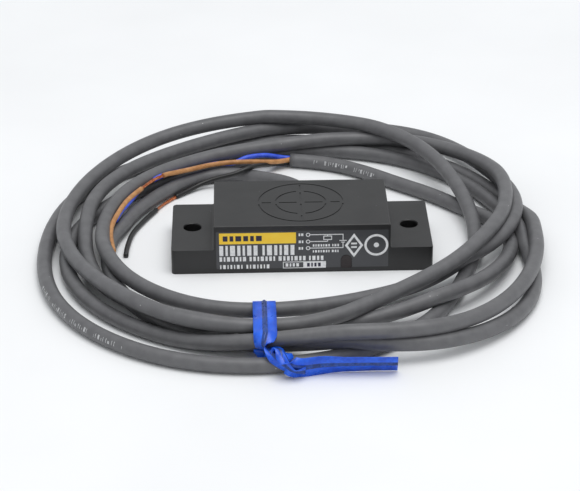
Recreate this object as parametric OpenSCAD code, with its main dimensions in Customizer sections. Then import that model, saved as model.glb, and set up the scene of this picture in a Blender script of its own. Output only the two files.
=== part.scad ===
// Flat rectangular capacitive proximity sensor with a coiled three-core cable.
// Origin: centre of the underside. +X along the length, -Y out of the nameplate,
// +Z out of the sensing face. Millimetres.

/* [Case] */
// Overall length over both mounting tabs
body_l = 50; // [46:0.5:60]
// Overall width
body_w = 20; // [18:0.5:26]
// Height from the underside to the sensing face
body_h = 10; // [9.5:0.1:13]
// Length of each mounting tab
tab_l = 8.2; // [7:0.1:9.8]
// Thickness of the mounting tabs
tab_t = 5; // [3:0.1:6]
// Side walls of the hollow block
wall = 1.2; // [1:0.1:1.6]
// Thickness of the sensing face
face_t = 1; // [0.7:0.1:1.4]
// Radius of the upright corners
corner_r = 0.8; // [0.4:0.1:1.2]
// Radius of the long moulded edges
edge_r = 0.25; // [0.1:0.05:0.4]
// Radius in the angle between the block and a tab
root_r = 0.4; // [0.2:0.1:0.8]

/* [Mounting holes] */
// Diameter of the clearance hole for an M3 screw
hole_d = 3.4; // [3.2:0.1:4]
// Distance from the end of a tab to its hole
hole_inset = 4; // [3.4:0.1:4.2]
// Chamfer round the mouth of a hole
hole_chamfer = 0.15; // [0.1:0.05:0.3]

/* [Sensing face] */
// Diameter of the sensing electrode, marked by the inner ring
electrode_d = 10; // [8:0.5:12]
// Diameter of the outer ring of the target mark
target_d = 16.6; // [14:0.2:16.8]
// Width of the engraved lines
groove_w = 0.28; // [0.2:0.02:0.5]
// Depth of the engraved lines
groove_t = 0.1; // [0.1:0.02:0.3]
// Break in the lines where ring and cross meet
groove_gap = 1.5; // [0.8:0.1:1.8]

/* [Nameplate and indicator] */
// Length of the nameplate film
label_l = 32.8; // [28:0.1:33]
// Height of the nameplate film
label_h = 7.9; // [6:0.1:8.2]
// Height of its lower edge above the underside
label_z = 0.95; // [0.5:0.05:1.2]
// Thickness of the film, which lies flush in a recess
label_t = 0.15; // [0.1:0.05:0.3]
// Distance of the indicator window from the middle
window_x = 8.4; // [-12:0.1:12]
// Width of the arched indicator window
window_w = 2; // [1.4:0.1:2.6]
// Height of the window's crown above the underside
window_top = 3.5; // [3:0.1:4.2]

/* [Cable] */
// Outer diameter of the cable jacket
cable_d = 2.9; // [2.6:0.1:3.2]
// Outer diameter of one insulated core
core_d = 1; // [0.8:0.05:1.2]
// Diameter of the bare stranded conductor
strand_d = 0.55; // [0.4:0.05:0.7]
// Height of the cable's axis where it leaves the case
exit_z = 5.8; // [5.6:0.1:6.4]
// Mean radius of the coil
coil_r = 42.7; // [41:0.1:46]
// Width of the bundle of turns
coil_w = 14.5; // [12:0.5:14.5]
// Height of the bundle of turns
coil_h = 8.2; // [6:0.1:10]

/* [Hidden] */

$fn = 64;
eps = 0.01;

// Case, worked out from the driving sizes
block_l = body_l - 2 * tab_l;
hole_x = body_l / 2 - hole_inset;
cavity_l = block_l - 2 * wall;
cavity_w = body_w - 2 * wall;
cavity_top = body_h - face_t;
cover_t = 1.2;
cover_lip = 0.5;
cover_gap = 0.05;
back_y = body_w / 2;

// Board stack, measured down from the sensing face and up from the cover
board_gap = 0.2;
bush_tail = 1;
foil_t = 0.1;
electrode_board_t = 0.8;
electrode_board_d = cavity_w - 2 * (bush_tail + board_gap);
electrode_board_z = cavity_top - foil_t - electrode_board_t;
guard_gap = 0.8;
board_t = 1;
board_z = 2.6;
board_top = board_z + board_t;
board_l = cavity_l - 2 * board_gap;
board_w = cavity_w - 2 * board_gap;
post = 1.5;
pin_d = 0.6;
pin_at = [1.5, -3];

// Indicator
led = [1.6, 0.8, 1.1];
window_r = window_w / 2;
window_z = 0.75;
window_sink = 0.05;
window_gap = 0.02;

// Cable entry
bush_wall = 0.8;
bush_nose = 2.2;
bush_nose_wall = 0.45;
bush_shoulder = 0.5;
clamp_wall = 0.6;
clamp_l = 1.6;
jacket_in = 3.6;
jacket_end_y = back_y - wall - jacket_in;
core_pitch = core_d + 0.05;
lead_bend = 1;
lead_drop_y = jacket_end_y - 1.4;
cable_r = cable_d / 2;

// Coil, lying round the sensor
coil_at = [-1.5, 3.5];
coil_edge = 2.2;
coil_in = coil_r - coil_w / 2;

// Twist tie, wrapped once round the front of the bundle
tie_w = 4;
tie_t = 0.4;
tie_wire_d = 0.5;
tie_x = -7.5;
tie_tail_l = 20;

// The cable's route from the case to the coil, and from the coil to its stripped end
start_route = [
    [0, jacket_end_y, exit_z], [0, back_y - 1, exit_z], [0, back_y + 2.5, exit_z],
    [-0.3, 16.5, 5.2], [-1.5, 21, 3.9], [-4, 25.5, 2.6], [-8, 29, 1.7], [-13.5, 31, 1.45],
    [-20, 29.5, 1.45], [-25.5, 25, 1.45], [-30.2, 18.5, 1.45], [-33.7, 11.5, 1.45],
    [-35.3, 6.8, 1.45]
];
end_route = [
    [32.6, 14, 1.45], [29.2, 17.8, 1.45], [25, 21.8, 1.45], [20, 26, 1.45],
    [13.5, 31.5, 1.45], [6.5, 35.5, 1.45], [-1, 37.5, 1.45]
];

// Each core runs on from the jacket's end: insulation, bare strands, then the cut tip
brown_route = [
    [-1, 37, 1.9], [-3.5, 35.6, 2.1], [-6, 34.4, 2.6], [-8.5, 33.5, 3.1], [-11, 32.7, 3.5],
    [-13.5, 32.1, 3.7], [-16.5, 31, 3.9], [-19, 29.6, 4.1], [-21.5, 27.9, 4.3],
    [-24.5, 26.1, 4.5], [-27.5, 23.6, 4.9]
];
brown_bare = [[-27.5, 23.6, 4.9], [-29.7, 21, 4.9], [-31.5, 18.2, 4.7]];
brown_slug = [
    [-31.5, 18.2, 4.7], [-34, 13.9, 4.4], [-35.6, 9.1, 4.2], [-36.6, 4.9, 4], [-37, 1.8, 3.6],
    [-36.8, -1.5, 3.1], [-36.2, -5, 2.6]
];
blue_route = [
    [-1, 38, 1.7], [-3.5, 37.6, 2.2], [-6, 36.8, 3], [-8.5, 35.9, 3.3], [-10.8, 35, 3.2],
    [-13.2, 34, 2.6], [-15.6, 32.9, 3.1], [-18.4, 31, 3.6], [-21.5, 28.8, 3.9],
    [-24.5, 27, 4.1], [-27.5, 24.5, 4.5], [-29.2, 22.6, 4.5]
];
blue_bare = [[-29.2, 22.6, 4.5], [-30.9, 20.1, 4.4], [-32.3, 17.7, 4.2]];
blue_slug = [[-32.3, 17.7, 4.2], [-33.7, 14.4, 3.8], [-35.4, 9.9, 3.7], [-36.3, 6.5, 3.4]];
black_route = [
    [-1, 37.6, 0.9], [-4, 36.4, 1.2], [-7, 32.8, 2.6], [-9.6, 29.8, 3.5], [-12.6, 28.4, 2.9],
    [-15.5, 28, 2.3], [-18, 27.6, 1.7], [-20, 26.9, 1.2], [-22, 25.4, 0.8], [-24.8, 22.8, 0.5]
];
black_bare = [[-24.8, 22.8, 0.5], [-27.1, 19.7, 0.5], [-28.7, 16.8, 0.5]];
black_slug = [
    [-28.7, 16.8, 0.5], [-31.4, 11, 0.5], [-33, 6.5, 0.5], [-33.6, 3, 0.5], [-33.9, 0, 0.5],
    [-34, -3, 0.5]
];

case_colour = "#2f2f31";
board_colour = "#1f6b45";
chip_colour = "#1c1c1e";
copper_colour = "#c8602f";
tin_colour = "#b9bcc0";
jacket_colour = "#4c4c4e";

// ---- Shared shapes ----

// Rectangle centred on the origin with round corners
module round_rect(size, r) {
    square([size.x - 2 * r, size.y], center = true);
    square([size.x, size.y - 2 * r], center = true);
    for (sx = [-1, 1], sy = [-1, 1])
        translate([sx * (size.x / 2 - r), sy * (size.y / 2 - r)]) circle(r);
}

// Rectangle standing on y = 0 with two round upper corners
module round_top(width, height, r) {
    translate([-width / 2, 0]) square([width, height - r]);
    translate([-width / 2 + r, 0]) square([width - 2 * r, height]);
    for (sx = [-1, 1]) translate([sx * (width / 2 - r), height - r]) circle(r);
}

// Box centred in x and y, standing on z = 0
module slab(size) {
    translate([-size.x / 2, -size.y / 2, 0]) cube(size);
}

// Upright ring or disc
module ring(outer_d, inner_d, height) {
    difference() {
        cylinder(d = outer_d, h = height);
        translate([0, 0, -eps]) cylinder(d = inner_d, h = height + 2 * eps);
    }
}

// Extrudes an XZ outline along Y between two planes
module along_y(y_from, y_to) {
    translate([0, y_to, 0]) rotate([90, 0, 0]) linear_extrude(y_to - y_from) children();
}

// Tube of 8 sides swept along a route of points
function unit(v) = v / norm(v);
function heading(path, i) = unit(
    path[min(i + 1, len(path) - 1)] - path[max(i - 1, 0)]);
function side_of(t) = unit(cross(t, abs(t.z) > 0.9 ? [1, 0, 0] : [0, 0, 1]));
function smooth_at(path, i, t) =
    let (p = [for (k = [-1:2]) path[min(max(i + k, 0), len(path) - 1)]])
    0.5 * (2 * p[1] + (p[2] - p[0]) * t + (2 * p[0] - 5 * p[1] + 4 * p[2] - p[3]) * t * t
        + (3 * p[1] - p[0] - 3 * p[2] + p[3]) * t * t * t);
function smooth(path, steps) = concat(
    [for (i = [0:len(path) - 2], k = [0:steps - 1]) smooth_at(path, i, k / steps)],
    [path[len(path) - 1]]);

module swept_tube(route, d, steps = 1) {
    sides = 8;
    path = smooth(route, steps);
    points = [for (i = [0:len(path) - 1], k = [0:sides - 1])
        let (t = heading(path, i), s = side_of(t), u = cross(s, t), a = 360 * (k + 0.5) / sides)
        path[i] + d / 2 * (cos(a) * s + sin(a) * u)];
    walls = [for (i = [0:len(path) - 2], k = [0:sides - 1])
        let (a = i * sides + k, b = i * sides + (k + 1) % sides)
        [a, b, b + sides, a + sides]];
    first = [[for (k = [sides - 1:-1:0]) k]];
    last = [[for (k = [0:sides - 1]) (len(path) - 1) * sides + k]];
    polyhedron(points, concat(walls, first, last), convexity = 6);
}

// ---- Case ----

// Outline from the front: the block with a tab at each side
module case_outline() {
    round_top(block_l, body_h, edge_r);
    round_top(body_l, tab_t, edge_r);
    for (sx = [-1, 1]) scale([sx, 1]) translate([block_l / 2, tab_t]) difference() {
        translate([-eps, -eps]) square(root_r + eps);
        translate([root_r, root_r]) circle(root_r);
    }
}

module case_solid() {
    intersection() {
        along_y(-body_w / 2, body_w / 2) case_outline();
        linear_extrude(body_h) round_rect([body_l, body_w], corner_r);
        rotate([90, 0, 90]) translate([0, 0, -body_l / 2]) linear_extrude(body_l)
            round_top(body_w, body_h, edge_r);
    }
}

// Space inside the block that the resin fills
module cavity() {
    difference() {
        translate([0, 0, cover_t]) slab([cavity_l, cavity_w, cavity_top - cover_t]);
        board_posts();
    }
}

// Corner posts that the circuit board seats against
module board_posts() {
    for (sx = [-1, 1], sy = [-1, 1])
        translate([sx * (cavity_l - post) / 2, sy * (cavity_w - post) / 2, board_top])
            slab([post, post, body_h - board_top]);
}

module window_outline(gap = 0) {
    crown = window_top - window_r;
    translate([window_x - window_r - gap, window_z - gap])
        square([window_w + 2 * gap, crown - window_z + gap]);
    translate([window_x, crown]) circle(window_r + gap);
}

// Straight groove along +X between two distances from the centre
module groove(from, to) {
    translate([from, -groove_w / 2, 0]) cube([to - from, groove_w, groove_t + eps]);
}

// Two rings and a cross, with breaks that keep the lines apart
module target_grooves() {
    half_gap = groove_gap / 2;
    difference() {
        for (d = [electrode_d, target_d]) ring(d, d - 2 * groove_w, groove_t + eps);
        translate([0, 0, -eps]) {
            slab([target_d + 2, groove_gap, groove_t + 3 * eps]);
            slab([groove_gap, electrode_d + 2, groove_t + 3 * eps]);
        }
    }
    for (a = [0:90:270]) rotate(a) {
        groove(half_gap, electrode_d / 2 - half_gap);
        groove(electrode_d / 2 + half_gap, target_d / 2 - half_gap);
    }
}

module mounting_bores() {
    for (sx = [-1, 1]) translate([sx * hole_x, 0, 0]) {
        translate([0, 0, -eps]) cylinder(d = hole_d, h = tab_t + 2 * eps);
        translate([0, 0, tab_t - hole_chamfer])
            cylinder(d1 = hole_d, d2 = hole_d + 2 * hole_chamfer + 2 * eps, h = hole_chamfer + eps);
    }
}

module label_outline() {
    translate([0, label_z + label_h / 2]) round_rect([label_l, label_h], 0.2);
}

module housing() {
    color(case_colour) difference() {
        case_solid();
        cavity();
        translate([0, 0, -eps])
            slab([cavity_l + 2 * cover_lip, cavity_w + 2 * cover_lip, cover_t + eps]);
        mounting_bores();
        translate([0, 0, body_h - groove_t]) target_grooves();
        along_y(-body_w / 2 - eps, -body_w / 2 + label_t) label_outline();
        along_y(-body_w / 2 - eps, -cavity_w / 2 + eps) window_outline(window_gap);
        translate([0, cavity_w / 2 - eps, exit_z]) rotate([-90, 0, 0])
            cylinder(d = cable_d + 2 * bush_wall, h = wall + 2 * eps);
    }
}

module bottom_cover() {
    lip = cover_lip - cover_gap;
    color(case_colour) slab([cavity_l + 2 * lip, cavity_w + 2 * lip, cover_t]);
}

module nameplate() {
    color("#3a3b3f") difference() {
        along_y(-body_w / 2, -body_w / 2 + label_t) label_outline();
        along_y(-body_w / 2 - eps, -body_w / 2 + label_t + eps) window_outline(0.1);
    }
}

module indicator_window() {
    color("#5a1420") along_y(-body_w / 2 + window_sink, -cavity_w / 2) window_outline();
}

// ---- Electronics ----

module indicator_led() {
    color("#d9433c")
        translate([window_x, -cavity_w / 2 + led.y / 2 + 0.05, board_z - led.z]) slab(led);
}

module circuit_board() {
    color(board_colour) translate([0, 0, board_z]) slab([board_l, board_w, board_t]);
}

module electrode_board() {
    color(board_colour) translate([0, 0, electrode_board_z])
        cylinder(d = electrode_board_d, h = electrode_board_t);
}

module sensing_electrode() {
    color(copper_colour) translate([0, 0, cavity_top - foil_t])
        cylinder(d = electrode_d, h = foil_t);
}

module guard_electrode() {
    color(copper_colour) translate([0, 0, cavity_top - foil_t])
        ring(electrode_board_d, electrode_d + 2 * guard_gap, foil_t);
}

// One pin feeds each electrode from the circuit board
module electrode_pins() {
    color(tin_colour) for (sx = [-1, 1]) translate([sx * pin_at.x, pin_at.y, board_top])
        cylinder(d = pin_d, h = electrode_board_z - board_top);
}

// Chip package on the board, with gull-wing legs along two sides
module chip(size, legs, leg_pitch) {
    leg = [0.3, 0.6, 0.15];
    color(chip_colour) translate([0, 0, 0.1]) slab(size);
    color(tin_colour) for (sy = [-1, 1], i = [0:legs - 1])
        translate([(i - (legs - 1) / 2) * leg_pitch, sy * (size.y / 2 + leg.y / 2), 0]) {
            slab([leg.x, leg.y, leg.z]);
            translate([0, -sy * leg.y / 2, 0]) slab([leg.x, leg.z, size.z / 2]);
        }
}

module oscillator_chip() {
    translate([-5.5, -3.5, board_top]) chip([4.9, 3.9, 1.5], 4, 1.27);
}

module detector_chip() {
    translate([-11, 3, board_top]) chip([3, 3, 1], 4, 0.65);
}

module voltage_regulator() {
    translate([10.5, 4.5, board_top]) chip([4.5, 2.5, 1.5], 3, 1.5);
}

module output_transistor() {
    translate([5, -5, board_top]) chip([2.9, 1.4, 1], 2, 1.9);
}

module surge_diode() {
    translate([11, -0.5, board_top]) {
        color(chip_colour) translate([0, 0, 0.1]) slab([4.3, 2.6, 2]);
        color(tin_colour) for (sx = [-1, 1]) translate([sx * 2.4, 0, 0]) slab([0.5, 1.4, 1.1]);
    }
}

module tantalum_capacitor() {
    translate([-10.5, -4, board_top]) {
        color("#c9952c") translate([0, 0, 0.1]) slab([3.2, 1.6, 1.6]);
        color(tin_colour) for (sx = [-1, 1]) translate([sx * 1.75, 0, 0]) slab([0.3, 1.2, 0.9]);
    }
}

// Sets the sensing distance at the factory
module trim_resistor() {
    translate([5, -1, board_top]) {
        color("#2b57a8") slab([3, 2.4, 1.2]);
        color(tin_colour) translate([0, 0, 1.2]) cylinder(d = 1.6, h = 0.3);
    }
}

// Chip parts in a row: a body and a metal cap on each end
module chip_part(size, body_colour) {
    cap = size.x / 5;
    color(body_colour) slab([size.x - 2 * cap, size.y, size.z]);
    color(tin_colour) for (sx = [-1, 1])
        translate([sx * (size.x - cap) / 2, 0, 0]) slab([cap, size.y, size.z]);
}

module chip_resistors() {
    size = [1.6, 0.8, 0.45];
    for (i = [0:4]) translate([-12 + 3 * i, -4.5, board_z - size.z]) chip_part(size, chip_colour);
    for (i = [0:2]) translate([-12 + 3 * i, 0.5, board_z - size.z]) chip_part(size, chip_colour);
}

module chip_capacitors() {
    size = [1.6, 0.8, 0.8];
    for (i = [0:3]) translate([-12 + 3 * i, 5.5, board_z - size.z]) chip_part(size, "#b08a5c");
    for (i = [0:1]) translate([10 + 3 * i, 5.5, board_z - size.z]) chip_part(size, "#b08a5c");
}

// Domes of solder where the three leads meet the board
module solder_joints() {
    color(tin_colour) for (k = [-1:1]) translate([k * core_pitch * 1.6, lead_drop_y, board_top])
        difference() {
            sphere(d = 1.3);
            translate([0, 0, -2]) slab([3, 3, 2]);
            cylinder(d = strand_d, h = 2);
        }
}

module potting_resin() {
    color("#33312c") difference() {
        cavity();
        circuit_board();
        electrode_board();
        translate([0, 0, cavity_top - foil_t]) cylinder(d = electrode_board_d, h = foil_t);
        electrode_pins();
        indicator_led();
        oscillator_chip();
        detector_chip();
        voltage_regulator();
        output_transistor();
        surge_diode();
        tantalum_capacitor();
        trim_resistor();
        chip_resistors();
        chip_capacitors();
        solder_joints();
        cable_room();
        translate([0, lead_drop_y - core_d / 2, board_top])
            slab([5 * core_pitch, core_d, electrode_board_z - board_top]);
    }
}

// ---- Cable entry ----

// Turns an outline drawn as radius against distance into a solid about the cable's axis
module about_cable(y) {
    translate([0, y, exit_z]) rotate([-90, 0, 0]) rotate_extrude() children();
}

// Rubber bush: barrel in the wall, shoulder inside, tapered nose outside
module cable_bush() {
    barrel = cable_r + bush_wall;
    color("#1d1d1f") about_cable(back_y) polygon([
        [cable_r, -wall - bush_tail], [barrel + bush_shoulder, -wall - bush_tail],
        [barrel + bush_shoulder, -wall],
        [barrel, -wall], [barrel, 0], [barrel + 0.3, 0], [barrel + 0.3, 0.5],
        [cable_r + bush_nose_wall, bush_nose], [cable_r, bush_nose]
    ]);
}

// Space in the resin for the jacket, its clamp and the bush's shoulder
module cable_room() {
    shoulder_r = cable_r + bush_wall + bush_shoulder;
    clamp_from = -wall - bush_tail - clamp_l;
    about_cable(back_y) polygon([
        [0, -wall - jacket_in], [cable_r, -wall - jacket_in], [cable_r, clamp_from],
        [cable_r + clamp_wall, clamp_from], [cable_r + clamp_wall, -wall - bush_tail],
        [shoulder_r, -wall - bush_tail], [shoulder_r, -wall], [0, -wall]
    ]);
}

// Crimped ring behind the bush that takes the pull on the cable
module cable_clamp() {
    color(tin_colour) about_cable(back_y - wall - bush_tail - clamp_l)
        translate([cable_r, 0]) square([clamp_wall, clamp_l]);
}

// One core inside the case: out of the jacket, a bend, then down to its pad
module inner_lead(k, shade) {
    x = k * core_pitch;
    run = jacket_end_y - lead_drop_y - lead_bend;
    color(shade) {
        translate([x, lead_drop_y + lead_bend, exit_z]) rotate([-90, 0, 0])
            cylinder(d = core_d, h = run);
        translate([x, lead_drop_y + lead_bend, exit_z - lead_bend]) rotate([90, 0, -90])
            rotate_extrude(angle = 90) translate([lead_bend, 0]) circle(d = core_d);
        translate([x, lead_drop_y, board_top + 0.6])
            cylinder(d = core_d, h = exit_z - lead_bend - board_top - 0.6);
    }
    color(copper_colour) translate([x, lead_drop_y, board_top]) cylinder(d = strand_d, h = 0.6);
}

module brown_lead() { inner_lead(-1, "#9a5a30"); }

module blue_lead() { inner_lead(0, "#3a50d8"); }

module black_lead() { inner_lead(1, "#1a1a1a"); }

// ---- Cable ----

module cable_start() { color(jacket_colour) swept_tube(start_route, cable_d); }

module cable_end() { color(jacket_colour) swept_tube(end_route, cable_d, 2); }

// Bundle of turns as one solid ring, nipped where the tie goes round it
module cable_coil() {
    color(jacket_colour) difference() {
        translate([coil_at.x, coil_at.y, 0]) rotate_extrude($fn = 96)
            translate([coil_r, 0]) bundle_section();
        tie_band(tie_w + 0.2, 0, 0.6);
    }
}

// Flat underneath, rounded over the top
module bundle_section() {
    translate([-coil_w / 2, 0]) square([coil_w, coil_h - coil_edge]);
    translate([-coil_w / 2 + coil_edge, 0]) square([coil_w - 2 * coil_edge, coil_h]);
    for (sx = [-1, 1]) translate([sx * (coil_w / 2 - coil_edge), coil_h - coil_edge])
        circle(coil_edge);
}

module brown_wire() { color("#b87a4a") swept_tube(brown_route, core_d); }

module blue_wire() { color("#3a50d8") swept_tube(blue_route, core_d); }

module black_wire() { color("#1a1a1a") swept_tube(black_route, core_d); }

module brown_strands() { color(copper_colour) swept_tube(brown_bare, strand_d); }

module blue_strands() { color(copper_colour) swept_tube(blue_bare, strand_d); }

module black_strands() { color(copper_colour) swept_tube(black_bare, strand_d); }

module brown_tip() { color("#b87a4a") swept_tube(brown_slug, core_d); }

module blue_tip() { color("#3a50d8") swept_tube(blue_slug, core_d); }

module black_tip() { color("#1a1a1a") swept_tube(black_slug, core_d); }

// ---- Twist tie ----

// Closed band round the bundle at the front, from depth t_in to depth t_out of its surface
module tie_band(width, t_in, t_out) {
    mid_y = coil_at.y - coil_r;
    translate([tie_x - width / 2, mid_y, 0]) rotate([90, 0, 90]) linear_extrude(width)
        difference() {
            translate([0, coil_h / 2]) round_rect([coil_w + 0.4, coil_h], coil_edge);
            translate([0, coil_h / 2])
                round_rect([coil_w + 0.4 - 2 * t_out, coil_h - 2 * t_out], coil_edge - t_out);
        }
}

// Ribbon: the band, and both ends twisted together and laid out to the right
module twist_tie() {
    front_y = coil_at.y - coil_r - coil_w / 2 - 0.2;
    color("#2a55c8") difference() {
        union() {
            tie_band(tie_w, 0, tie_t);
            translate([tie_x + tie_w / 2 - 1, front_y - 2.2, 0]) cube([3, 2.4, 2]);
            translate([tie_x + tie_w / 2 + 1.5, front_y - 2.2, 0]) cube([tie_tail_l, tie_w * 0.55, 1]);
        }
        tie_core();
    }
}

module tie_core() {
    front_y = coil_at.y - coil_r - coil_w / 2 - 0.2;
    translate([tie_x + tie_w / 2 + 1.5 + eps, front_y - 1.1, 0.5]) rotate([0, 90, 0])
        cylinder(d = tie_wire_d, h = tie_tail_l);
}

module twist_tie_wire() { color(tin_colour) tie_core(); }

housing();
bottom_cover();
nameplate();
indicator_window();
indicator_led();
circuit_board();
electrode_board();
sensing_electrode();
guard_electrode();
electrode_pins();
oscillator_chip();
detector_chip();
voltage_regulator();
output_transistor();
surge_diode();
tantalum_capacitor();
trim_resistor();
chip_resistors();
chip_capacitors();
solder_joints();
potting_resin();
cable_bush();
cable_clamp();
brown_lead();
blue_lead();
black_lead();
cable_start();
cable_coil();
cable_end();
brown_wire();
blue_wire();
black_wire();
brown_strands();
blue_strands();
black_strands();
brown_tip();
blue_tip();
black_tip();
twist_tie();
twist_tie_wire();
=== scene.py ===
import math
import bpy
import numpy as np
from mathutils import Matrix, Vector


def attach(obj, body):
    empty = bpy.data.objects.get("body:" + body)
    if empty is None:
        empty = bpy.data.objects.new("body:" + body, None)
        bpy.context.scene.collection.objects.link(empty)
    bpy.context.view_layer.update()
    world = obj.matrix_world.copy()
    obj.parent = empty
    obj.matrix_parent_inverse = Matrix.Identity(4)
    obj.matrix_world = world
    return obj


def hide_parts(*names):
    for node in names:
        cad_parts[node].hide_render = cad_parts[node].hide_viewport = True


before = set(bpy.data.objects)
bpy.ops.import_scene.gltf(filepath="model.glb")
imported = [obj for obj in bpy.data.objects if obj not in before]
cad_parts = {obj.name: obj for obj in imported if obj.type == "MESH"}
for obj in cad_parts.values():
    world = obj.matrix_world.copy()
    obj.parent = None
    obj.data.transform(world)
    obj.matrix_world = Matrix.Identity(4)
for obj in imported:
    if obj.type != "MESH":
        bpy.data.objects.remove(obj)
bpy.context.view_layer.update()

# Capacitive proximity sensor on a pale table, inside its own loosely coiled cable.
# Sizes below are in millimetres; mm turns them into the frame's metres.
mm = 0.001


# ---- camera ----

cameraView = {
    "place": (-11.06, -388.28, 200.57),
    "yaw": 1.32,  # turned to the right of straight ahead, degrees
    "elevation": 27.24,
    "roll": -0.36,
    "lens": 138.9,
    "sensor": 36,
}


def aimedCamera(view):
    yaw, up, roll = (math.radians(view[k]) for k in ("yaw", "elevation", "roll"))
    ahead = Vector((math.sin(yaw) * math.cos(up), math.cos(yaw) * math.cos(up), -math.sin(up)))
    level = Vector((math.cos(yaw), -math.sin(yaw), 0))
    upright = level.cross(ahead)
    right = math.cos(roll) * level + math.sin(roll) * upright
    top = math.cos(roll) * upright - math.sin(roll) * level
    data = bpy.data.cameras.new("camera")
    data.lens = view["lens"]
    data.sensor_width = view["sensor"]
    data.sensor_fit = "HORIZONTAL"
    data.clip_start = 0.01
    camera = bpy.data.objects.new("camera", data)
    turn = Matrix((right, top, -ahead)).transposed().to_4x4()
    camera.matrix_world = Matrix.Translation(Vector(view["place"]) * mm) @ turn
    bpy.context.scene.collection.objects.link(camera)
    bpy.context.scene.camera = camera


aimedCamera(cameraView)
bpy.context.scene.view_settings.view_transform = "Standard"
print("camera placed")


# ---- mesh helpers ----

def linked(name, verts, faces, smooth=True, scale=mm):
    mesh = bpy.data.meshes.new(name)
    mesh.from_pydata([tuple(float(c) * scale for c in v) for v in verts], [], faces)
    mesh.validate()
    mesh.polygons.foreach_set("use_smooth", [smooth] * len(mesh.polygons))
    mesh.update()
    piece = bpy.data.objects.new(name, mesh)
    bpy.context.scene.collection.objects.link(piece)
    return piece


# natural cubic through the points, cut into equal steps
def curveThrough(points, step, ease=0.5):
    p = np.array(points, float)
    knots = np.r_[0, np.cumsum(np.linalg.norm(np.diff(p, axis=0), axis=1) ** ease)]
    h = np.diff(knots)
    n = len(p)
    a = np.eye(n)
    b = np.zeros((n, 3))
    for i in range(1, n - 1):
        a[i, i - 1:i + 2] = h[i - 1], 2 * (h[i - 1] + h[i]), h[i]
        b[i] = 6 * ((p[i + 1] - p[i]) / h[i] - (p[i] - p[i - 1]) / h[i - 1])
    bend = np.linalg.solve(a, b)
    t = np.linspace(0, knots[-1], 40 * n)
    k = np.clip(np.searchsorted(knots, t, side="right") - 1, 0, n - 2)
    near, far, width = (t - knots[k])[:, None], (knots[k + 1] - t)[:, None], h[k][:, None]
    fine = (bend[k] * far ** 3 + bend[k + 1] * near ** 3) / (6 * width)
    fine += (p[k] / width - bend[k] * width / 6) * far
    fine += (p[k + 1] / width - bend[k + 1] * width / 6) * near
    return evenly(fine, step)


def evenly(line, step):
    run = np.r_[0, np.cumsum(np.linalg.norm(np.diff(line, axis=0), axis=1))]
    marks = np.linspace(0, run[-1], max(2, int(round(run[-1] / step)) + 1))
    return np.stack([np.interp(marks, run, line[:, c]) for c in range(3)], 1)


# tangent, side and up at each point, with no twist between them
def carried(line, first=(0, 0, 1)):
    ahead = np.gradient(line, axis=0)
    ahead /= np.linalg.norm(ahead, axis=1)[:, None]
    ups = []
    up = np.array(first, float)
    for t in ahead:
        up = up - t * up.dot(t)
        up /= np.linalg.norm(up)
        ups.append(up)
    ups = np.array(ups)
    return ahead, np.cross(ahead, ups), ups


# rings round a line and a flat cap at each end, as verts and faces
def tube(line, radii, sides, first=(0, 0, 1)):
    _, side, up = carried(line, first)
    radii = np.broadcast_to(radii, len(line))
    verts = []
    for p, s, u, r in zip(line, side, up, radii):
        for k in range(sides):
            a = 2 * math.pi * k / sides
            verts.append(p + r * (math.cos(a) * s + math.sin(a) * u))
    return verts, skin(len(line), sides)


def skin(rings, sides):
    faces = [tuple(reversed(range(sides)))]
    for i in range(rings - 1):
        for k in range(sides):
            m = (k + 1) % sides
            faces.append((i * sides + k, i * sides + m, (i + 1) * sides + m, (i + 1) * sides + k))
    faces.append(tuple(range((rings - 1) * sides, rings * sides)))
    return faces


def joined(parts):
    verts, faces = [], []
    for v, f in parts:
        base = len(verts)
        verts += list(v)
        faces += [tuple(i + base for i in face) for face in f]
    return verts, faces


# ---- the cable ----

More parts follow.
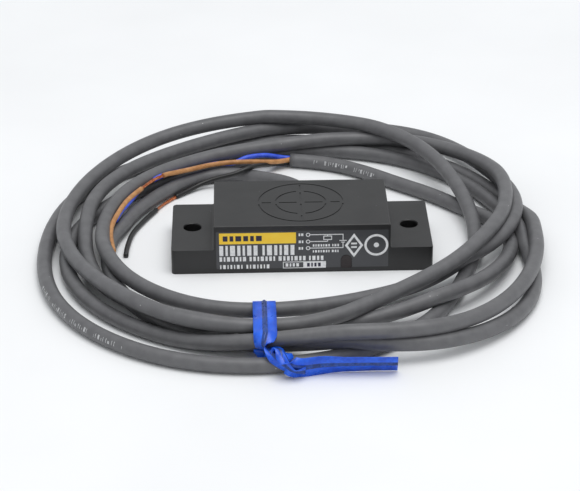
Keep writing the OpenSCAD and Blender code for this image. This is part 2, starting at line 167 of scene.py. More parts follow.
cable = {
    "diameter": 2.9,
    "exit": (0, 12.2, 5.8),
    "length": 1620,
    "sides": 20,
    "floor": 1.45,  # centre height of a strand that lies on the table
    "step": 2.5,
    "drawnStep": 1.25,
    "settleRounds": 500,
    "sag": 0.004,  # how far each round lets a strand sink
    "stiffness": 0.35,
    "leastRise": 0.6,  # a crossing strand is pushed up at least this steeply
    "upperGives": 0.7,  # the upper strand's share of a push, and the lower one's
    "lowerGives": 0.3,
    "pushEase": 0.8,
    "homing": 0.99,  # pull back toward the laid route each round
    "exitHeld": 3,  # points at the exit that do not move
    # out of the bush at the back, down to the table and round to the left
    "start": [
        [0, 9, 5.8], [0, 12.5, 5.8], [-0.3, 16.5, 5.2], [-1.5, 21, 3.9], [-4, 25.5, 2.6], [-8, 29, 1.7],
        [-13.5, 31, 1.45], [-20, 29.5, 1.45], [-25.5, 25, 1.45], [-30.2, 18.5, 1.45],
        [-33.7, 11.5, 1.45], [-35.3, 6.8, 1.45],
    ],
    # six loose turns: how far from the sensor's middle, and how high, each twelfth of a turn
    "firstAngle": 90,
    "twelfth": 30,
    "reach": [
        [37.2, 39.5, 41.5, 43, 49.5, 48.5, 42.5, 42, 43],
        [41.5, 38.5, 41, 45, 46, 44.5, 44.5, 48.5, 47, 45, 45, 46],
        [47, 47.5, 49.5, 49.5, 51.5, 51, 46.5, 40.5, 34.5, 34, 36.5, 43.5],
        [47.5, 49.5, 48, 46, 43.5, 43.5, 38, 32, 33.5, 39, 46, 46.5],
        [40.5, 38.5, 39, 38.5, 37.5, 34.5, 29.5, 27.5, 31.5, 41, 47, 54],
        [49, 44.5, 44, 42, 41.5, 41, 34.5, 36, 39.5, 41.5],
    ],
    "height": [
        [0, 0, 0, 2.5, 3.5, 0, 0, 0, 0],
        [0, 0, 0, 0, 0, 0, 4.5, 5, 4, 2.5, 0, 0],
        [0, 0, 0, 0, 0, 0, 0, 0, 0, 3, 6, 7],
        [7, 6.5, 5.5, 4.5, 5, 6, 5, 4.5, 4.5, 4.5, 4.5, 4.5],
        [4.5, 4.5, 4.5, 3, 3.5, 4, 3.5, 2, 0, 4, 3.5, 3],
        [4, 4.5, 3.5, 0, 2, 4.5, 2, 3, 3.5, 0],
    ],
    # in under the outer turns to the cut end of the jacket behind the sensor
    "end": [
        [39.8, 6.5, 1.45], [36.3, 10.3, 1.45], [32.6, 14, 1.45], [29.2, 17.8, 1.45], [25, 21.8, 1.45],
        [20, 26, 1.45], [13.5, 31.5, 1.45], [6.5, 35.5, 1.45], [-1, 37.5, 1.45],
    ],
}


def turnPoints(lay):
    points = []
    angle = math.radians(lay["firstAngle"])
    for reaches, heights in zip(lay["reach"], lay["height"]):
        for reach, height in zip(reaches, heights):
            high = max(height, lay["floor"])
            points.append([-reach * math.sin(angle), reach * math.cos(angle), high])
            angle += math.radians(lay["twelfth"])
    return points


# strands that share a space push each other apart and sink until they rest
def settled(start, lay):
    thick, floor, rounds = lay["diameter"], lay["floor"], lay["settleRounds"]
    p = start.copy()
    first, second = np.triu_indices(len(p), int(3 * thick / lay["step"]))
    apart = start[second] - start[first]
    close = np.hypot(apart[:, 0], apart[:, 1]) < thick + 4
    first, second = first[close], second[close]
    above = np.where(start[second][:, 2] >= start[first][:, 2], 1.0, -1.0)
    for turn in range(rounds):
        gap = p[second] - p[first]
        size = np.linalg.norm(gap, axis=1) + 1e-9
        hit = size < thick
        i, j, s = first[hit], second[hit], above[hit]
        way = gap[hit] / size[hit][:, None]
        way[:, 2] = s * np.maximum(np.abs(way[:, 2]), lay["leastRise"])
        way /= np.linalg.norm(way, axis=1)[:, None]
        push = way * (thick - size[hit])[:, None]
        share = np.where(s > 0, lay["lowerGives"], lay["upperGives"])[:, None]
        move, count = np.zeros_like(p), np.zeros(len(p))
        np.add.at(move, i, -push * share)
        np.add.at(move, j, push * (1 - share))
        np.add.at(count, i, 1)
        np.add.at(count, j, 1)
        p += move / np.sqrt(np.maximum(count, 1))[:, None] * lay["pushEase"]
        left = 1 - turn / rounds
        p[:, 2] -= lay["sag"] * left
        off = p - start
        off[:, :2] *= lay["homing"]
        spread = 0.5 * (off[:-2] + off[2:]) - off[1:-1]
        off[1:-1] += lay["stiffness"] * (0.2 + 0.8 * left) * spread  # neighbours bend together
        off[:lay["exitHeld"]] = 0
        off[-1] = off[-2]
        p = start + off
        p[:, 2] = np.maximum(p[:, 2], floor)
    return p


coarse = settled(curveThrough(cable["start"] + turnPoints(cable) + cable["end"], cable["step"]), cable)
cableLine = curveThrough(coarse, cable["drawnStep"], ease=1)
cableRun = float(np.linalg.norm(np.diff(cableLine, axis=0), axis=1).sum())
jacket = linked("cable_jacket", *tube(cableLine, cable["diameter"] / 2, cable["sides"]))
print("cable", len(cableLine), "rings", round(cableRun, 1), "mm")


# ---- stripped cores ----

cores = {
    "brown": {
        "route": [
            [-1, 37, 1.9], [-3.5, 35.6, 2.1], [-6, 34.4, 2.6], [-8.5, 33.5, 3.1], [-11, 32.7, 3.5],
            [-13.5, 32.1, 3.7], [-16.5, 31, 3.9], [-19, 29.6, 4.1], [-21.5, 27.9, 4.3],
            [-24.5, 26.1, 4.5], [-27.5, 23.6, 4.9],
        ],
        "bare": [[-27.5, 23.6, 4.9], [-29.7, 21, 4.9], [-31.5, 18.2, 4.7]],
        "slug": [
            [-31.5, 18.2, 4.7], [-34, 13.9, 4.4], [-35.6, 9.1, 4.2], [-36.6, 4.9, 4], [-37, 1.8, 3.6],
            [-36.8, -1.5, 3.1], [-36.2, -5, 2.6],
        ],
    },
    "blue": {
        "route": [
            [-1, 38, 1.7], [-3.5, 37.6, 2.2], [-6, 36.8, 3], [-8.5, 35.9, 3.3], [-10.8, 35, 3.2],
            [-13.2, 34, 2.6], [-15.6, 32.9, 3.1], [-18.4, 31, 3.6], [-21.5, 28.8, 3.9],
            [-24.5, 27, 4.1], [-27.5, 24.5, 4.5], [-29.2, 22.6, 4.5],
        ],
        "bare": [[-29.2, 22.6, 4.5], [-30.9, 20.1, 4.4], [-32.3, 17.7, 4.2]],
        "slug": [[-32.3, 17.7, 4.2], [-33.7, 14.4, 3.8], [-35.4, 9.9, 3.7], [-36.3, 6.5, 3.4]],
    },
    "black": {
        "route": [
            [-1, 37.6, 0.9], [-4, 36.4, 1.2], [-7, 32.8, 2.6], [-9.6, 29.8, 3.5], [-12.6, 28.4, 2.9],
            [-15.5, 28, 2.3], [-18, 27.6, 1.7], [-20, 26.9, 1.2], [-22, 25.4, 0.8], [-24.8, 22.8, 0.5],
        ],
        "bare": [[-24.8, 22.8, 0.5], [-27.1, 19.7, 0.5], [-28.7, 16.8, 0.5]],
        "slug": [
            [-28.7, 16.8, 0.5], [-31.4, 11, 0.5], [-33, 6.5, 0.5], [-33.6, 3, 0.5],
            [-33.9, 0, 0.5], [-34, -3, 0.5],
        ],
    },
}
coreMake = {
    "radius": 0.5,
    "sides": 16,
    "step": 0.5,
    "middleStrand": 0.14,
    "strand": 0.09,
    "strands": 6,
    "strandOut": 0.2,  # how far each strand winds from the middle
    "strandPitch": 7,
    "hidden": 1,  # strand length left inside the insulation at each end
    "strandStep": 0.25,
    "strandSides": 8,
    "loosen": 0.25,  # how unevenly the strands lie, as a share of strandOut
    "loosenTurn": 1.3,
    "loosenApart": 2.1,
}


def coreLine(core):
    return curveThrough(core["route"] + core["bare"][1:] + core["slug"][1:], coreMake["step"])


# first and last ring of the stripped stretch
def strippedSpan(line, core):
    opens, shuts = np.array(core["bare"][0]), np.array(core["bare"][-1])
    start = np.linalg.norm(line - opens, axis=1).argmin()
    stop = np.linalg.norm(line - shuts, axis=1).argmin()
    return start, stop


# full insulation, then one strand's thickness where it is stripped
def insulatedCore(name, core):
    line = coreLine(core)
    start, stop = strippedSpan(line, core)
    full, thin = coreMake["radius"], coreMake["middleStrand"]
    points, radii = [], []
    for i, p in enumerate(line):
        if i in (start, stop):  # a square cut has two rings at one place
            points += [p, p]
            radii += [full, thin] if i == start else [thin, full]
        else:
            points.append(p)
            radii.append(thin if start < i < stop else full)
    _, side, up = carried(line)
    keep = np.cumsum([0] + [0 if np.allclose(a, b) else 1 for a, b in zip(points, points[1:])])
    sides = coreMake["sides"]
    verts = []
    for p, k, r in zip(points, keep, radii):
        for n in range(sides):
            a = 2 * math.pi * n / sides
            verts.append(p + r * (math.cos(a) * side[k] + math.sin(a) * up[k]))
    piece = linked(name, verts, skin(len(points), sides))
    return piece, line, line[start:stop + 1]


# the bare copper: thin strands laid up round the middle one
def windingStrands(name, line):
    fine = evenly(line, coreMake["strandStep"])
    _, side, up = carried(fine)
    run = np.arange(len(fine)) * coreMake["strandStep"]
    parts = []
    for k in range(coreMake["strands"]):
        a = 2 * math.pi * (k / coreMake["strands"] + run / coreMake["strandPitch"])
        sway = np.sin(run * coreMake["loosenTurn"] + coreMake["loosenApart"] * k)
        wobble = coreMake["strandOut"] * (1 + coreMake["loosen"] * sway)
        path = fine + wobble[:, None] * (np.cos(a)[:, None] * side + np.sin(a)[:, None] * up)
        parts.append(tube(path, coreMake["strand"], coreMake["strandSides"]))
    return linked(name, *joined(parts))


corePieces = {}
for colour, core in cores.items():
    wire, line, bare = insulatedCore(colour + "_core", core)
    ahead = bare[-1] - bare[-2]
    behind = bare[0] - bare[1]
    reach = coreMake["hidden"]
    longer = np.vstack([
        bare[0] + behind / np.linalg.norm(behind) * reach, bare,
        bare[-1] + ahead / np.linalg.norm(ahead) * reach,
    ])
    copper = windingStrands(colour + "_copper", longer)
    run = float(np.linalg.norm(np.diff(line, axis=0), axis=1).sum())
    corePieces[colour] = {"wire": wire, "copper": copper, "line": line, "run": run}
    print(colour, "core", round(run, 1), "mm")


# ---- twist tie ----

tie = {
    "x": -7.6,
    "halfWidth": 2.1,
    "film": 0.06,  # half the film's thickness
    "rib": 0.32,  # radius of the film over the wire
    "wire": 0.2,
    "step": 0.4,
    "held": -46.4,  # strands nearer the front than this are outside the loop
    "clear": 0.12,  # band's middle above the strands it holds
    "lowest": 0.12,  # the band's middle above the table, where it passes under
    "roundSteps": 48,
    "ribArc": (-160, -125, -90, -55, -20),
    "ringSides": 18,
    "wireSides": 8,
    # the loop stops this far forward and below this height, where its ends begin
    "loopFront": -44.8,
    "loopTop": 5.2,
    # the ends beyond the loop: middle, direction across, half width
    "outer": [
        [(-7.9, -45.9, 4.6), (0.8, -0.5, 0.2), 1.8], [(-7.6, -46.2, 4.2), (0.1, -0.9, 0.45), 1.5],
        [(-6.9, -46.9, 3.9), (-0.8, -0.4, 0.5), 1.5], [(-5.6, -48.3, 3.5), (-0.8, 0.1, -0.5), 1.5],
        [(-4.2, -49.7, 2.6), (-0.5, 0.4, -0.8), 1.4], [(-2.6, -50.2, 1.7), (0, 0.8, -0.6), 1.3],
        [(-0.8, -49.8, 1.3), (0.1, 0.3, -1), 1.2],
    ],
    "inner": [
        [(-7.1, -45.1, 0.9), (1, 0.1, 0.2), 1.2], [(-6.3, -46.2, 2.7), (0.6, -0.6, 0.5), 1.5],
        [(-5.4, -47, 4.3), (-0.3, -0.8, 0.6), 1.4], [(-4.4, -48.7, 3.9), (-0.9, 0, 0.2), 1.6],
        [(-3.4, -49.8, 2.7), (-0.5, 0.3, 0.8), 1.8], [(-1.4, -49.6, 2.05), (0.1, 0, 1), 1.9],
        [(2, -49, 2.1), (0, -0.2, 1), 2.1], [(6, -48.8, 2.1), (0, -0.4, 0.92), 2.1],
        [(11, -48.8, 2.1), (0, -0.45, 0.9), 2.1], [(15.6, -48.9, 2.1), (0, -0.45, 0.9), 2.1],
    ],
}


# where the front of the coil crosses the plane of the tie
def strandsAt(x):
    line = cableLine
    cross = np.where((line[:-1, 0] - x) * (line[1:, 0] - x) <= 0)[0]
    return [line[i][1:] for i in cross if line[i][1] < 0]


# shortest line round the held strands, from under their front, back, over and forward
def bandRound(x, radius):
    rim = []
    half = tie["halfWidth"]
    for centre in strandsAt(x - half) + strandsAt(x) + strandsAt(x + half):
        if centre[0] > tie["held"]:
            for k in range(tie["roundSteps"]):
                a = 2 * math.pi * k / tie["roundSteps"]
                spot = centre + radius * np.array([math.cos(a), math.sin(a)])
                rim.append((spot[0], max(spot[1], tie["lowest"])))
    rim = sorted(set((round(y, 4), round(z, 4)) for y, z in rim))
    turns = []
    for side in (rim, rim[::-1]):  # lower edge, then upper edge of the outline
        chain = []
        for spot in side:
            while len(chain) > 1:
                (ay, az), (by, bz) = chain[-2:]
                if (by - ay) * (spot[1] - az) - (bz - az) * (spot[0] - ay) > 0:
                    break
                chain.pop()
            chain.append(spot)
        turns.append(chain)
    return np.array([[x, y, z] for y, z in turns[0] + turns[1][1:]])


# film with a round rib along its middle
def ribbonRings(line, across, halves):
    ahead = np.gradient(line, axis=0)
    ahead /= np.linalg.norm(ahead, axis=1)[:, None]
    across = across - ahead * (across * ahead).sum(1)[:, None]
    across /= np.linalg.norm(across, axis=1)[:, None]
    face = np.cross(ahead, across)
    film, rib = tie["film"], tie["rib"]
    arc = [math.radians(a) for a in tie["ribArc"]]
    bulge = [(rib * math.cos(a), rib * math.sin(a)) for a in arc]
    verts = []
    for p, w, f, half in zip(line, across, face, halves):
        under = [(-half, -film), (-rib * 1.5, -film)] + bulge
        under += [(rib * 1.5, -film), (half, -film)]
        outline = under + [(u, -v) for u, v in reversed(under)]
        ring = [p + u * w + v * f for u, v in outline]
        verts += [(x, y, max(z, 0.02)) for x, y, z in ring]  # nothing under the table
    return verts, skin(len(line), tie["ringSides"])


def ribbon(name):
    loop = bandRound(tie["x"], cable["diameter"] / 2 + tie["clear"])
    loop = evenly(loop, tie["step"])
    front = loop[:, 1].argmin()
    loop = np.vstack([loop[front:], loop[:front]])
    keep = loop[(loop[:, 1] > tie["loopFront"]) | (loop[:, 2] > tie["loopTop"])]
    ends = [tie["inner"][::-1], tie["outer"]]
    spots = [[s[0] for s in end] for end in ends]
    line = curveThrough(spots[0] + keep[1:-1:3].tolist() + spots[1], tie["step"])
    keys = ends[0] + [[p, (1, 0, 0), tie["halfWidth"]] for p in keep[1:-1:3]] + ends[1]
    places = [np.linalg.norm(line - np.array(k[0]), axis=1).argmin() for k in keys]
    order = np.maximum.accumulate(places)
    rings = range(len(line))
    across = np.stack([np.interp(rings, order, [k[1][c] for k in keys]) for c in range(3)], 1)
    halves = np.interp(rings, order, [k[2] for k in keys])
    verts, faces = ribbonRings(line, across, halves)
    wireVerts, wireFaces = tube(line, tie["wire"], tie["wireSides"])
    return linked(name, verts, faces), linked("tie_wire", wireVerts, wireFaces)


tieBand, tieWire = ribbon("tie_band")
print("tie made")


# ---- print on the nameplate ----

plate = {
    "face": -10,
    "lift": 0.02,
    "yellow": (-15.8, -1.2, 6.25, 8.55),
    "stroke": 0.16,
    "rings": [(1.1, 8), (1.1, 6.55), (1.1, 5.15)],
    "ringSize": 0.42,
    "returnX": 7.75,
    "loadBox": (4, 5.65, 6.85, 7.75),
    "supply": (7.75, 6.5),
    "boxes": [(-3.7, 0.3, 0.9, 2.3), (0.3, 4.5, 0.9, 2.3)],
    # rows of plain bars: from, to, bottom, top, bar widths, gap
    "rows": [
        (-15.8, -1.1, 3.75, 5.9, (0.75, 0.45, 0.95, 0.6, 0.45, 0.8), 0.42),
        (-15.8, 4.3, 2.55, 3.5, (0.5, 0.32, 0.6, 0.42), 0.3),
        (-15.7, -6.2, 0.95, 1.8, (0.22, 0.5, 0.22, 0.34), 0.34),
        (-0.7, 0.45, 7.75, 8.3, (0.3, 0.42), 0.18),
        (-0.7, 0.45, 6.25, 6.8, (0.42, 0.3), 0.18),
        (-0.7, 0.2, 4.85, 5.4, (0.36, 0.3), 0.18),
        (2, 7.1, 5.45, 5.95, (0.3, 0.22, 0.36), 0.2),
        (2, 7.1, 4.2, 4.7, (0.22, 0.36, 0.3), 0.2),
        (-3.2, -0.2, 1.25, 1.95, (0.5, 0.3, 0.4), 0.28),
    ],
    "darkRows": [
        (-15.1, -7.7, 6.85, 7.95, (0.9, 0.7, 1.1), 0.4),
        (0.9, 3.9, 1.2, 2, (0.5, 0.3, 0.4), 0.3),
    ],
    "diamond": (9.85, 5.6, 1.75, 2.55),  # middle, half width, half height
    "target": (14.1, 5.6, 2.3),
    "boldStroke": 0.46,
}


# a flat shape on the front face, from outline points in x and z
def printed(outline):
    n = len(outline)
    y = plate["face"]
    verts = [(x, y + 0.01, z) for x, z in outline] + [(x, y - plate["lift"], z) for x, z in outline]
    faces = [tuple(reversed(range(n))), tuple(range(n, 2 * n))]
    faces += [(i, (i + 1) % n, n + (i + 1) % n, n + i) for i in range(n)]
    return verts, faces


def bar(x0, x1, z0, z1):
    return printed([(x0, z0), (x1, z0), (x1, z1), (x0, z1)])


def barRow(x0, x1, z0, z1, widths, gap):
    bars, x, k = [], x0, 0
    while x + widths[k % len(widths)] <= x1 + 0.01:
        wide = widths[k % len(widths)]
        bars.append(bar(x, x + wide, z0, z1))
        x += wide + gap * (2.2 if k % 7 == 6 else 1)  # a wider gap now and then, as between words
        k += 1
    return bars


def frameOf(x0, x1, z0, z1, wide):
    return [
        bar(x0, x1, z0, z0 + wide), bar(x0, x1, z1 - wide, z1),
        bar(x0, x0 + wide, z0 + wide, z1 - wide), bar(x1 - wide, x1, z0 + wide, z1 - wide),
    ]


# closed band between two outlines of the same number of points
def band(outer, inner):
    parts = []
    n = len(outer)
    for i in range(n):
        k = (i + 1) % n
        parts.append(printed([outer[i], outer[k], inner[k], inner[i]]))
    return parts


def circleRound(x, z, r, count=28):
    angles = [2 * math.pi * k / count for k in range(count)]
    return [(x + r * math.cos(a), z + r * math.sin(a)) for a in angles]


def corners(x, z, half, tall):
    return [(x - half, z), (x, z - tall), (x + half, z), (x, z + tall)]


def platePrint():
    thin = plate["stroke"]
    white, dark = [], []
    for row in plate["rows"]:
        white += barRow(*row)
    for row in plate["darkRows"]:
        dark += barRow(*row)
    hollow, solid = plate["boxes"]
    white += frameOf(*hollow, thin * 0.8)
    white.append(bar(*solid))
    # connection drawing: three terminals, the load and the supply
    right = plate["returnX"]
    size = plate["ringSize"]
    for x, z in plate["rings"]:
        white += band(circleRound(x, z, size, 16), circleRound(x, z, size - thin, 16))
    for x, z in plate["rings"][::2]:
        white.append(bar(x + size, right, z - thin / 2, z + thin / 2))
    x, z = plate["rings"][1]
    left, east, low, high = plate["loadBox"]
    middle = (left + east) / 2
    white.append(bar(x + size, middle, z - thin / 2, z + thin / 2))
    white.append(bar(middle - thin / 2, middle + thin / 2, z, low))
    white.append(bar(middle - thin / 2, middle + thin / 2, high, plate["rings"][0][1]))
    white += frameOf(left, east, low, high, thin)
    x, z = plate["supply"]
    top, foot = plate["rings"][0][1] + thin / 2, plate["rings"][2][1] - thin / 2
    white.append(bar(x - thin / 2, x + thin / 2, z + 0.2, top))
    white.append(bar(x - thin / 2, x + thin / 2, foot, z - 0.2))
    white.append(bar(x - 0.7, x + 0.7, z + 0.1, z + 0.1 + thin))
    white.append(bar(x - 0.35, x + 0.35, z - 0.1 - thin, z - 0.1))
    # sensing symbols: two plates in a diamond, and a ring about a dot
    bold = plate["boldStroke"]
    x, z, half, tall = plate["diamond"]
    white += band(corners(x, z, half, tall), corners(x, z, half - bold * 1.2, tall - bold * 1.7))
    white.append(bar(x - 0.55, x + 0.55, z + 0.2, z + 0.2 + bold * 0.8))
    white.append(bar(x - 0.55, x + 0.55, z - 0.2 - bold * 0.8, z - 0.2))
    x, z, r = plate["target"]
    white += band(circleRound(x, z, r), circleRound(x, z, r - bold))
    white.append(printed(circleRound(x, z, bold * 1.1, 20)))
    # dark print lies on the yellow and white fields, one coat higher
    dark = [([(u, v - plate["lift"], w) for u, v, w in verts], faces) for verts, faces in dark]
    return white, dark


whiteShapes, darkShapes = platePrint()
whitePrint = linked("nameplate_white_print", *joined(whiteShapes), smooth=False)
yellowPrint = linked("nameplate_yellow_field", *joined([bar(*plate["yellow"])]), smooth=False)
darkPrint = linked("nameplate_dark_print", *joined(darkShapes), smooth=False)
print("nameplate printed")


# ---- print on the jacket ----

jacketPrint = {
    "lift": 0.012,
    "tall": 0.85,
    "bar": 0.14,
    "pitch": (0.42, 0.3, 0.55, 0.34, 0.48),
    "word": 9,
    "space": 1.3,
    # where each run of marks starts, its length, and how far it is turned from the top
    "runs": [((-47.5, -17, 1.45), 28, 50), ((17, 28.6, 1.45), 15, -80)],
}


# short plain strokes wrapped on the jacket, in place of its lettering
def jacketMarks():
    _, side, up = carried(cableLine)
    run = np.arange(len(cableLine)) * cable["drawnStep"]
    radius = cable["diameter"] / 2 + jacketPrint["lift"]
    parts = []
    for first, long, turned in jacketPrint["runs"]:
        start = run[np.linalg.norm(cableLine - np.array(first), axis=1).argmin()]
        s, k = start, 0
        while s < start + long:
            wide = jacketPrint["bar"] * (3 if k % 4 == 1 else 1)
            verts = []
            low = -1 if k % 3 else -0.2
            for t in (s, s + wide):
                p, w, u = (
                    np.array([np.interp(t, run, v[:, c]) for c in range(3)])
                    for v in (cableLine, side, up)
                )
                for n in range(5):
                    across = (low + (1 - low) * n / 4) * jacketPrint["tall"]
                    a = math.radians(turned) + across / 2 / radius
                    verts.append(p + radius * (math.cos(a) * u + math.sin(a) * w))
            parts.append((verts, [(n, n + 1, n + 6, n + 5) for n in range(4)]))
            k += 1
            space = jacketPrint["space"] if k % jacketPrint["word"] == 0 else 0
            s += wide + jacketPrint["pitch"][k % 5] + space
    return linked("jacket_print", *joined(parts))


cablePrint = jacketMarks()


# ---- materials ----

def linear(code):
    parts = [int(code[i:i + 2], 16) / 255 for i in (1, 3, 5)]
    return tuple(c / 12.92 if c < 0.04045 else ((c + 0.055) / 1.055) ** 2.4 for c in parts) + (1,)


# adds one node: its settings, then a value or a link for each named socket
def add(tree, kind, sockets=None, **settings):
    made = tree.nodes.new("ShaderNode" + kind)
    for name, value in settings.items():
        setattr(made, name, value)
    for socket, value in (sockets or {}).items():
        if isinstance(value, bpy.types.NodeSocket):
            tree.links.new(value, made.inputs[socket])
        else:
            made.inputs[socket].default_value = value
    return made


# colour mottled between two shades, roughness patchy, and a bump at the grain's real size
def surface(name, look):
    material = bpy.data.materials.new(name)
    material.use_nodes = True
    tree = material.node_tree
    tree.nodes.clear()
    where = add(tree, "TexCoord").outputs["Object"]
    stretch = add(tree, "Mapping", {
        "Vector": where, "Scale": look.get("stretch", (1, 1, 1)),
    }).outputs[0]
    mottle = add(tree, "TexNoise", {
        "Vector": stretch, "Scale": 1 / (look["mottle"] * mm), "Detail": 3, "Roughness": 0.55,
    }).outputs["Fac"]
    ramp = add(tree, "ValToRGB", {"Fac": mottle})
    ramp.color_ramp.elements[0].position = 0.35
    ramp.color_ramp.elements[1].position = 0.65
    ramp.color_ramp.elements[0].color = linear(look["dark"])
    ramp.color_ramp.elements[1].color = linear(look["light"])
    colour = ramp.outputs["Color"]
    if "speck" in look:  # fine dust that sticks to the surface
        cells = add(tree, "TexVoronoi", {"Vector": where, "Scale": 1 / (look["speckApart"] * mm)})
        dot = add(tree, "Math", {
            0: cells.outputs["Distance"], 1: look["speckSize"],
        }, operation="LESS_THAN")
        seldom = add(tree, "SeparateColor", {"Color": cells.outputs["Color"]})
        some = add(tree, "Math", {0: seldom.outputs[0], 1: look["speckShare"]}, operation="LESS_THAN")
        both = add(tree, "Math", {0: dot.outputs[0], 1: some.outputs[0]}, operation="MULTIPLY")
        mixed = add(tree, "Mix", {"Factor": both.outputs[0]}, data_type="RGBA")
        tree.links.new(colour, mixed.inputs[6])
        mixed.inputs[7].default_value = linear(look["speck"])
        colour = mixed.outputs[2]
    patch = add(tree, "TexNoise", {"Vector": where, "Scale": 1 / (look["patch"] * mm), "Detail": 2})
    rough = add(tree, "MapRange", {
        "Value": patch.outputs["Fac"], "From Min": 0.3, "From Max": 0.7,
        "To Min": look["smooth"], "To Max": look["rough"],
    }).outputs[0]
    grain = add(tree, "TexNoise", {
        "Vector": stretch, "Scale": 1 / (look["grain"] * mm), "Detail": 2, "Roughness": 0.6,
    })
    bump = add(tree, "Bump", {
        "Height": grain.outputs["Fac"], "Strength": look["bump"], "Distance": look["depth"] * mm,
    })
    shader = add(tree, "BsdfPrincipled", {
        "Base Color": colour, "Roughness": rough, "Normal": bump.outputs[0],
        "Metallic": look.get("metallic", 0),
    })
    if "ior" in look:
        shader.inputs["IOR"].default_value = look["ior"]
    if "Transmission Weight" in look:
        shader.inputs["Transmission Weight"].default_value = look["Transmission Weight"]
    add(tree, "OutputMaterial", {"Surface": shader.outputs[0]})
    material.diffuse_color = linear(look["light"])
    return material


# black ABS from a spark-eroded mould: fine even grain, so highlights spread wide and soft
mouldedAbs = surface("moulded_black_abs", {
    "dark": "#151516", "light": "#1a1a1b", "mottle": 5, "patch": 7, "smooth": 0.34, "rough": 0.42,
    "grain": 0.22, "bump": 0.35, "depth": 0.02, "ior": 1.54,
    "speck": "#77777a", "speckApart": 1.6, "speckSize": 0.05, "speckShare": 0.12,
})
# printed polyester label: smooth satin film with a slight orange peel
labelFilm = surface("printed_polyester_film", {
    "dark": "#36373b", "light": "#3a3b3f", "mottle": 8, "patch": 5, "smooth": 0.34, "rough": 0.42,
    "grain": 0.6, "bump": 0.15, "depth": 0.01, "ior": 1.6,
})
# screen-printed inks: matt, a little thin at their edges
whiteInk = surface("white_screen_ink", {
    "dark": "#dcdddf", "light": "#f2f2f2", "mottle": 0.5, "patch": 2, "smooth": 0.5, "rough": 0.65,
    "grain": 0.1, "bump": 0.2, "depth": 0.005, "ior": 1.5,
})
yellowInk = surface("yellow_screen_ink", {
    "dark": "#ffd136", "light": "#ffd846", "mottle": 2, "patch": 2, "smooth": 0.45, "rough": 0.6,
    "grain": 0.12, "bump": 0.2, "depth": 0.005, "ior": 1.5,
})
darkInk = surface("dark_screen_ink", {
    "dark": "#1f1c33", "light": "#2a2642", "mottle": 0.6, "patch": 2, "smooth": 0.5, "rough": 0.6,
    "grain": 0.12, "bump": 0.2, "depth": 0.005, "ior": 1.5,
})
jacketInk = surface("worn_white_jacket_ink", {
    "dark": "#8e8f90", "light": "#c9cacb", "mottle": 0.4, "patch": 1, "smooth": 0.5, "rough": 0.7,
    "grain": 0.1, "bump": 0.2, "depth": 0.005, "ior": 1.5,
})
# cast tinted acrylic: clear gloss, nearly black until the lamp behind it lights
tintedAcrylic = surface("tinted_red_acrylic", {
    "dark": "#180c0f", "light": "#200f13", "mottle": 1.5, "patch": 2, "smooth": 0.12, "rough": 0.2,
    "grain": 0.8, "bump": 0.1, "depth": 0.01, "ior": 1.49, "Transmission Weight": 0.15,
})
# extruded plasticised PVC: matt grey, faint lines along the run, picks up dust
jacketPvc = surface("extruded_grey_pvc", {
    "dark": "#5c5c5e", "light": "#656567", "mottle": 2.2, "patch": 3, "smooth": 0.4, "rough": 0.52,
    "grain": 0.16, "bump": 0.3, "depth": 0.02, "ior": 1.53,
    "speck": "#b4b4b2", "speckApart": 1.5, "speckSize": 0.06, "speckShare": 0.16,
})


# thin-wall PVC core insulation: glossier than the jacket, evenly coloured
def coreInsulation(name, dark, light):
    return surface(name, {
        "dark": dark, "light": light, "mottle": 1.2, "patch": 1.5, "smooth": 0.3, "rough": 0.42,
        "grain": 0.1, "bump": 0.15, "depth": 0.008, "ior": 1.53,
    })


brownPvc = coreInsulation("brown_pvc_insulation", "#a5703f", "#c48e58")
bluePvc = coreInsulation("blue_pvc_insulation", "#2a4cd0", "#3c62e6")
blackPvc = coreInsulation("black_pvc_insulation", "#0c0c0d", "#131314")
# drawn bare copper, slightly tarnished where it was stripped
drawnCopper = surface("drawn_bare_copper", {
    "dark": "#b55f38", "light": "#e39b72", "mottle": 0.7, "patch": 0.8, "smooth": 0.25, "rough": 0.42,
    "grain": 0.08, "bump": 0.2, "depth": 0.006, "metallic": 1,
})
# blown polyethylene film of the tie: waxy, lengthwise streaks
tieFilm = surface("blue_polyethylene_film", {
    "dark": "#1150cf", "light": "#2268ee", "mottle": 1.4, "patch": 1.5, "smooth": 0.26, "rough": 0.4,
    "grain": 0.5, "bump": 0.3, "depth": 0.04, "ior": 1.51, "stretch": (1, 0.3, 1),
})
tieRib = surface("polyethylene_over_wire", {
    "dark": "#12306e", "light": "#1d4799", "mottle": 0.8, "patch": 1, "smooth": 0.24, "rough": 0.36,
    "grain": 0.4, "bump": 0.2, "depth": 0.02, "ior": 1.51,
})
steelWire = surface("annealed_steel_wire", {
    "dark": "#4a4c50", "light": "#6b6e73", "mottle": 0.5, "patch": 0.6, "smooth": 0.35, "rough": 0.5,
    "grain": 0.1, "bump": 0.2, "depth": 0.005, "metallic": 1,
})
# moulded rubber bush: dull, slightly bloomed
mouldedRubber = surface("moulded_black_rubber", {
    "dark": "#1a1a1b", "light": "#242425", "mottle": 1.5, "patch": 2, "smooth": 0.6, "rough": 0.75,
    "grain": 0.2, "bump": 0.3, "depth": 0.02, "ior": 1.52,
})


# ---- materials inside the case, which show only when it is taken apart ----

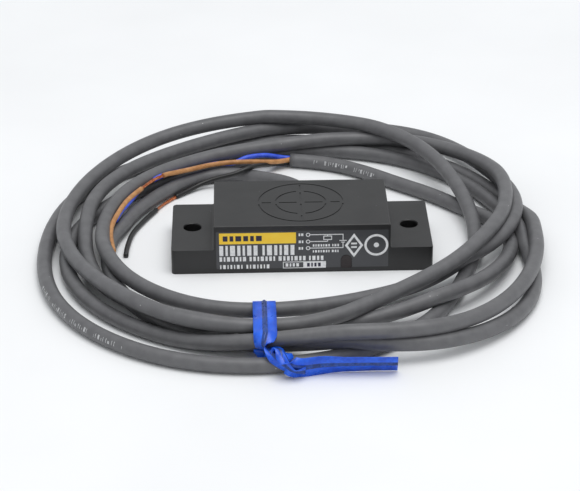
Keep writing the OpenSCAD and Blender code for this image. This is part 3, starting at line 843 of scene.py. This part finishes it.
boardLaminate = surface("green_masked_epoxy_laminate", {
    "dark": "#145238", "light": "#1d6747", "mottle": 1, "patch": 3, "smooth": 0.25, "rough": 0.35,
    "grain": 0.4, "bump": 0.15, "depth": 0.01, "ior": 1.55,
})
etchedCopper = surface("etched_copper_foil", {
    "dark": "#b9673f", "light": "#d98a5c", "mottle": 2, "patch": 2, "smooth": 0.3, "rough": 0.4,
    "grain": 0.2, "bump": 0.2, "depth": 0.005, "metallic": 1,
})
tinPlate = surface("tin_plated_metal", {
    "dark": "#9fa2a6", "light": "#c3c6ca", "mottle": 0.6, "patch": 0.8, "smooth": 0.2, "rough": 0.34,
    "grain": 0.3, "bump": 0.2, "depth": 0.01, "metallic": 1,
})
chipEpoxy = surface("moulded_chip_epoxy", {
    "dark": "#18181a", "light": "#212123", "mottle": 0.5, "patch": 1, "smooth": 0.5, "rough": 0.62,
    "grain": 0.08, "bump": 0.3, "depth": 0.008, "ior": 1.55,
})
tantalumEpoxy = surface("yellow_moulded_epoxy", {
    "dark": "#c68a22", "light": "#d89c30", "mottle": 0.8, "patch": 1, "smooth": 0.4, "rough": 0.5,
    "grain": 0.1, "bump": 0.3, "depth": 0.01, "ior": 1.55,
})
blueGlaze = surface("blue_glazed_trimmer", {
    "dark": "#23509c", "light": "#2e60b4", "mottle": 0.8, "patch": 1, "smooth": 0.12, "rough": 0.2,
    "grain": 0.3, "bump": 0.1, "depth": 0.01, "ior": 1.5,
})
castResin = surface("dark_cast_epoxy", {
    "dark": "#252320", "light": "#2f2c27", "mottle": 3, "patch": 3, "smooth": 0.15, "rough": 0.25,
    "grain": 0.8, "bump": 0.1, "depth": 0.01, "ior": 1.55,
})
lampEpoxy = surface("diffuse_red_lamp_epoxy", {
    "dark": "#b8342c", "light": "#d04a40", "mottle": 0.5, "patch": 1, "smooth": 0.2, "rough": 0.3,
    "grain": 0.3, "bump": 0.1, "depth": 0.01, "ior": 1.52,
})

nodeFinish = {
    mouldedAbs: ["housing", "bottom_cover"],
    labelFilm: ["nameplate"],
    tintedAcrylic: ["indicator_window"],
    lampEpoxy: ["indicator_led"],
    boardLaminate: ["circuit_board", "electrode_board"],
    etchedCopper: ["sensing_electrode", "guard_electrode"],
    tinPlate: ["electrode_pins", "solder_joints", "cable_clamp"],
    chipEpoxy: [
        "oscillator_chip", "detector_chip", "voltage_regulator", "output_transistor", "surge_diode",
        "chip_resistors", "chip_capacitors",
    ],
    tantalumEpoxy: ["tantalum_capacitor"],
    blueGlaze: ["trim_resistor"],
    castResin: ["potting_resin"],
    mouldedRubber: ["cable_bush"],
    brownPvc: ["brown_lead", "brown_wire", "brown_tip"],
    bluePvc: ["blue_lead", "blue_wire", "blue_tip"],
    blackPvc: ["black_lead", "black_wire", "black_tip"],
    drawnCopper: ["brown_strands", "blue_strands", "black_strands"],
    jacketPvc: ["cable_start", "cable_coil", "cable_end"],
    tieFilm: ["twist_tie"],
    steelWire: ["twist_tie_wire"],
}


def paint(piece, *materials):
    piece.data.materials.clear()
    for material in materials:
        piece.data.materials.append(material)


for material, nodes in nodeFinish.items():
    for node in nodes:
        paint(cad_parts[node], material)
coreInks = {"brown": brownPvc, "blue": bluePvc, "black": blackPvc}
paint(jacket, jacketPvc)
paint(cablePrint, jacketInk)
paint(whitePrint, whiteInk)
paint(yellowPrint, yellowInk)
paint(darkPrint, darkInk)
paint(tieWire, steelWire)
paint(tieBand, tieFilm, tieRib)
for face in tieBand.data.polygons:  # the rib's faces lie round the band's middle
    corner = [v % tie["ringSides"] for v in face.vertices]
    if len(corner) == 4 and (set(corner) <= set(range(1, 8)) or set(corner) <= set(range(10, 17))):
        face.material_index = 1
for colour, made in corePieces.items():
    paint(made["wire"], coreInks[colour], drawnCopper)
    paint(made["copper"], drawnCopper)
print("materials done")


# ---- what rides and what is replaced ----

for piece in (jacket, cablePrint, whitePrint, yellowPrint, darkPrint, tieBand, tieWire):
    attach(piece, "root")
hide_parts("cable_start", "cable_coil", "cable_end")
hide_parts("twist_tie")
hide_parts("twist_tie_wire")
for colour, made in corePieces.items():
    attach(made["wire"], "root")
    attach(made["copper"], "root")
    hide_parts(colour + "_wire", colour + "_tip")
    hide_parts(colour + "_strands")


# ---- table and light ----

studio = {
    "tableSize": 3000,
    "sky": "#f4f6f8",
    "skyStrength": 0.72,
    "lamps": {
        "overhead": {"place": (70, -70, 620), "aim": (0, 0, 0), "size": 480, "power": 2.2},
    },
}


def table():
    half = studio["tableSize"] / 2
    rim = [(-half, -half, 0), (half, -half, 0), (half, half, 0), (-half, half, 0)]
    top = linked("table", rim, [(0, 1, 2, 3)])
    laminate = surface("white_table_laminate", {
        "dark": "#eff0f1", "light": "#f3f4f5", "mottle": 60, "patch": 40, "smooth": 0.6, "rough": 0.7,
        "grain": 2, "bump": 0.05, "depth": 0.02, "ior": 1.5,
    })
    paint(top, laminate)


def lamp(name, make):
    data = bpy.data.lights.new(name, "AREA")
    data.shape = "SQUARE"
    data.size = make["size"] * mm
    data.energy = make["power"]
    light = bpy.data.objects.new(name, data)
    place, aim = (Vector(make[k]) * mm for k in ("place", "aim"))
    light.location = place
    light.rotation_euler = (aim - place).to_track_quat("-Z", "Y").to_euler()
    bpy.context.scene.collection.objects.link(light)


table()
for name, make in studio["lamps"].items():
    lamp(name, make)
world = bpy.data.worlds.new("studio")
world.use_nodes = True
sky = world.node_tree.nodes["Background"]
sky.inputs["Color"].default_value = linear(studio["sky"])
sky.inputs["Strength"].default_value = studio["skyStrength"]
bpy.context.scene.world = world
print("studio lit")
